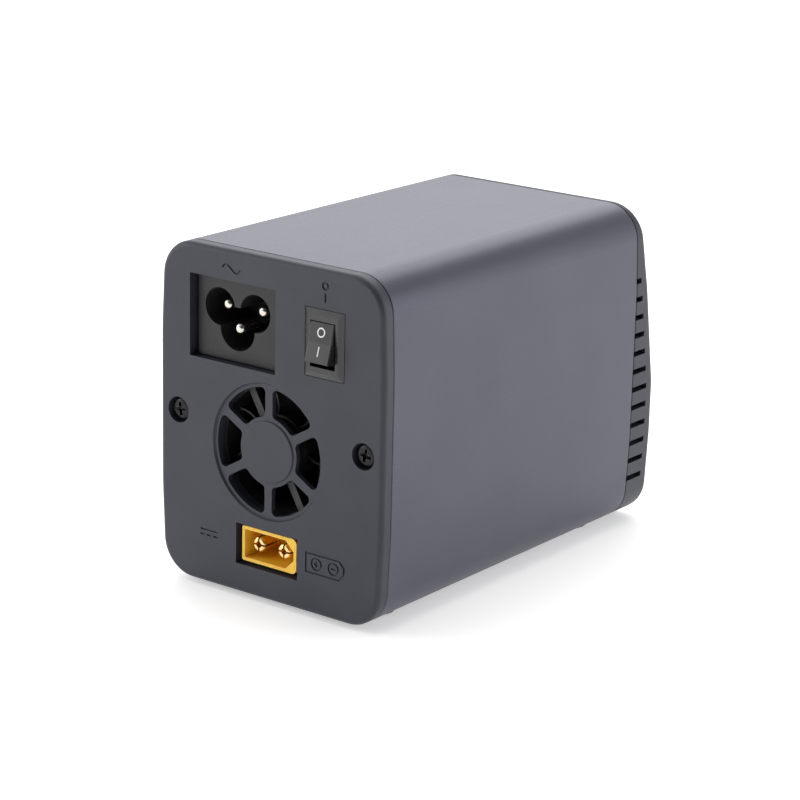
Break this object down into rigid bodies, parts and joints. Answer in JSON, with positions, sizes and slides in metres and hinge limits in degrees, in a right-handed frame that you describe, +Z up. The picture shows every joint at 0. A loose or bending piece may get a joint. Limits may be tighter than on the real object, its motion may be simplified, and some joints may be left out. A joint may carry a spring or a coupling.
{
  "type": "balance battery charger",
  "caption": "Upright balance charger in a dark metal sleeve, with mains inlet, rocker switch, fan grille and battery-plug input behind, and display, jog wheel, keys and outputs in front.",
  "frame": {"origin": "on the surface the feet stand on, at the middle of the overall box", "axes": "+X to the right seen from the front, +Y to the back face with the mains inlet, +Z up"},
  "size_m": [0.063, 0.1114, 0.0788],
  "materials": {
    "sleeve": "fine matte anodised",
    "cover": "fine spark texture",
    "lens": "polished",
    "display": "smooth",
    "screw_steel": "black oxide",
    "inlet_plastic": "moulded",
    "nickel": "nickel plated",
    "switch_plastic": "moulded",
    "plug_plastic": "moulded",
    "gold": "gold plated",
    "header_plastic": "moulded",
    "key_plastic": "moulded",
    "wheel": "knurled",
    "black_plastic": "moulded",
    "shaft_steel": "ground",
    "bronze": "sintered",
    "copper": "enamelled",
    "laminate": "solder resist",
    "ferrite": "sintered",
    "winding_tape": "taped",
    "can": "shrink sleeve",
    "fuse": "ceramic tube",
    "fin": "extruded",
    "sheet": "film",
    "lead_black": "insulated",
    "lead_green": "insulated",
    "lead_red": "insulated",
    "rubber": "moulded"
  },
  "bodies": {
    "housing": {"housing_sleeve": "sleeve", "back_cover": "cover", "front_cover": "cover", "display_lens": "lens", "display_module": "display", "back_cover_screws": "screw_steel", "front_cover_screws": "screw_steel", "fan_screws": "screw_steel", "key_board_screws": "screw_steel", "mains_inlet_body": "inlet_plastic", "mains_inlet_pins": "nickel", "switch_terminals": "nickel", "usb_shell": "nickel", "switch_housing": "switch_plastic", "dc_input_housing": "plug_plastic", "left_output_housing": "plug_plastic", "right_output_housing": "plug_plastic", "dc_input_pins": "gold", "left_output_contacts": "gold", "right_output_contacts": "gold", "left_balance_pins": "gold", "right_balance_pins": "gold", "left_balance_housing": "header_plastic", "right_balance_housing": "header_plastic", "fan_frame": "black_plastic", "usb_tongue": "black_plastic", "buzzer": "black_plastic", "controller_chip": "black_plastic", "power_transistors": "black_plastic", "wheel_click_switch": "black_plastic", "left_key_switch": "black_plastic", "right_key_switch": "black_plastic", "fan_bearing": "bronze", "fan_stator": "copper", "line_choke": "copper", "main_board": "laminate", "mains_board": "laminate", "key_board": "laminate", "transformer_core": "ferrite", "power_inductors": "ferrite", "transformer_winding": "winding_tape", "filter_capacitor": "winding_tape", "storage_capacitors": "can", "output_capacitors": "can", "line_fuse": "fuse", "heatsink": "fin", "mains_heatsinks": "fin", "insulating_sheet": "sheet", "mains_leads": "lead_black", "fan_leads": "lead_black", "earth_lead": "lead_green", "link_leads": "lead_red", "rubber_feet": "rubber"},
    "rocker": {"switch_rocker": "switch_plastic"},
    "fan_wheel": {"fan_rotor": "black_plastic", "fan_shaft": "shaft_steel"},
    "wheel_carriage": {"wheel_yoke": "key_plastic"},
    "jog_wheel": {"jog_wheel": "wheel"},
    "left_key": {"left_key": "key_plastic"},
    "right_key": {"right_key": "key_plastic"}
  },
  "joints": [
    {"name": "power_switch", "type": "hinge", "parent": "housing", "child": "rocker", "pos_m": [-0.0153, 0.05179, 0.06246], "axis": [-1, 0, 0], "range_deg": [0, 28]},
    {"name": "fan_spin", "type": "hinge", "parent": "housing", "child": "fan_wheel", "pos_m": [0.00035, 0.04579, 0.03525], "axis": [0, 1, 0], "continuous": true},
    {"name": "wheel_press", "type": "slide", "parent": "housing", "child": "wheel_carriage", "axis": [0, 1, 0], "range_m": [0, 0.0005], "stiffness_N_per_m": 1200, "springref_m": -0.0003},
    {"name": "wheel_turn", "type": "hinge", "parent": "wheel_carriage", "child": "jog_wheel", "pos_m": [0, -0.05121, 0.0292], "axis": [1, 0, 0], "continuous": true},
    {"name": "left_key_press", "type": "slide", "parent": "housing", "child": "left_key", "axis": [0, 1, 0], "range_m": [0, 0.0005], "stiffness_N_per_m": 1200, "springref_m": -0.0003},
    {"name": "right_key_press", "type": "slide", "parent": "housing", "child": "right_key", "axis": [0, 1, 0], "range_m": [0, 0.0005], "stiffness_N_per_m": 1200, "springref_m": -0.0003}
  ]
}
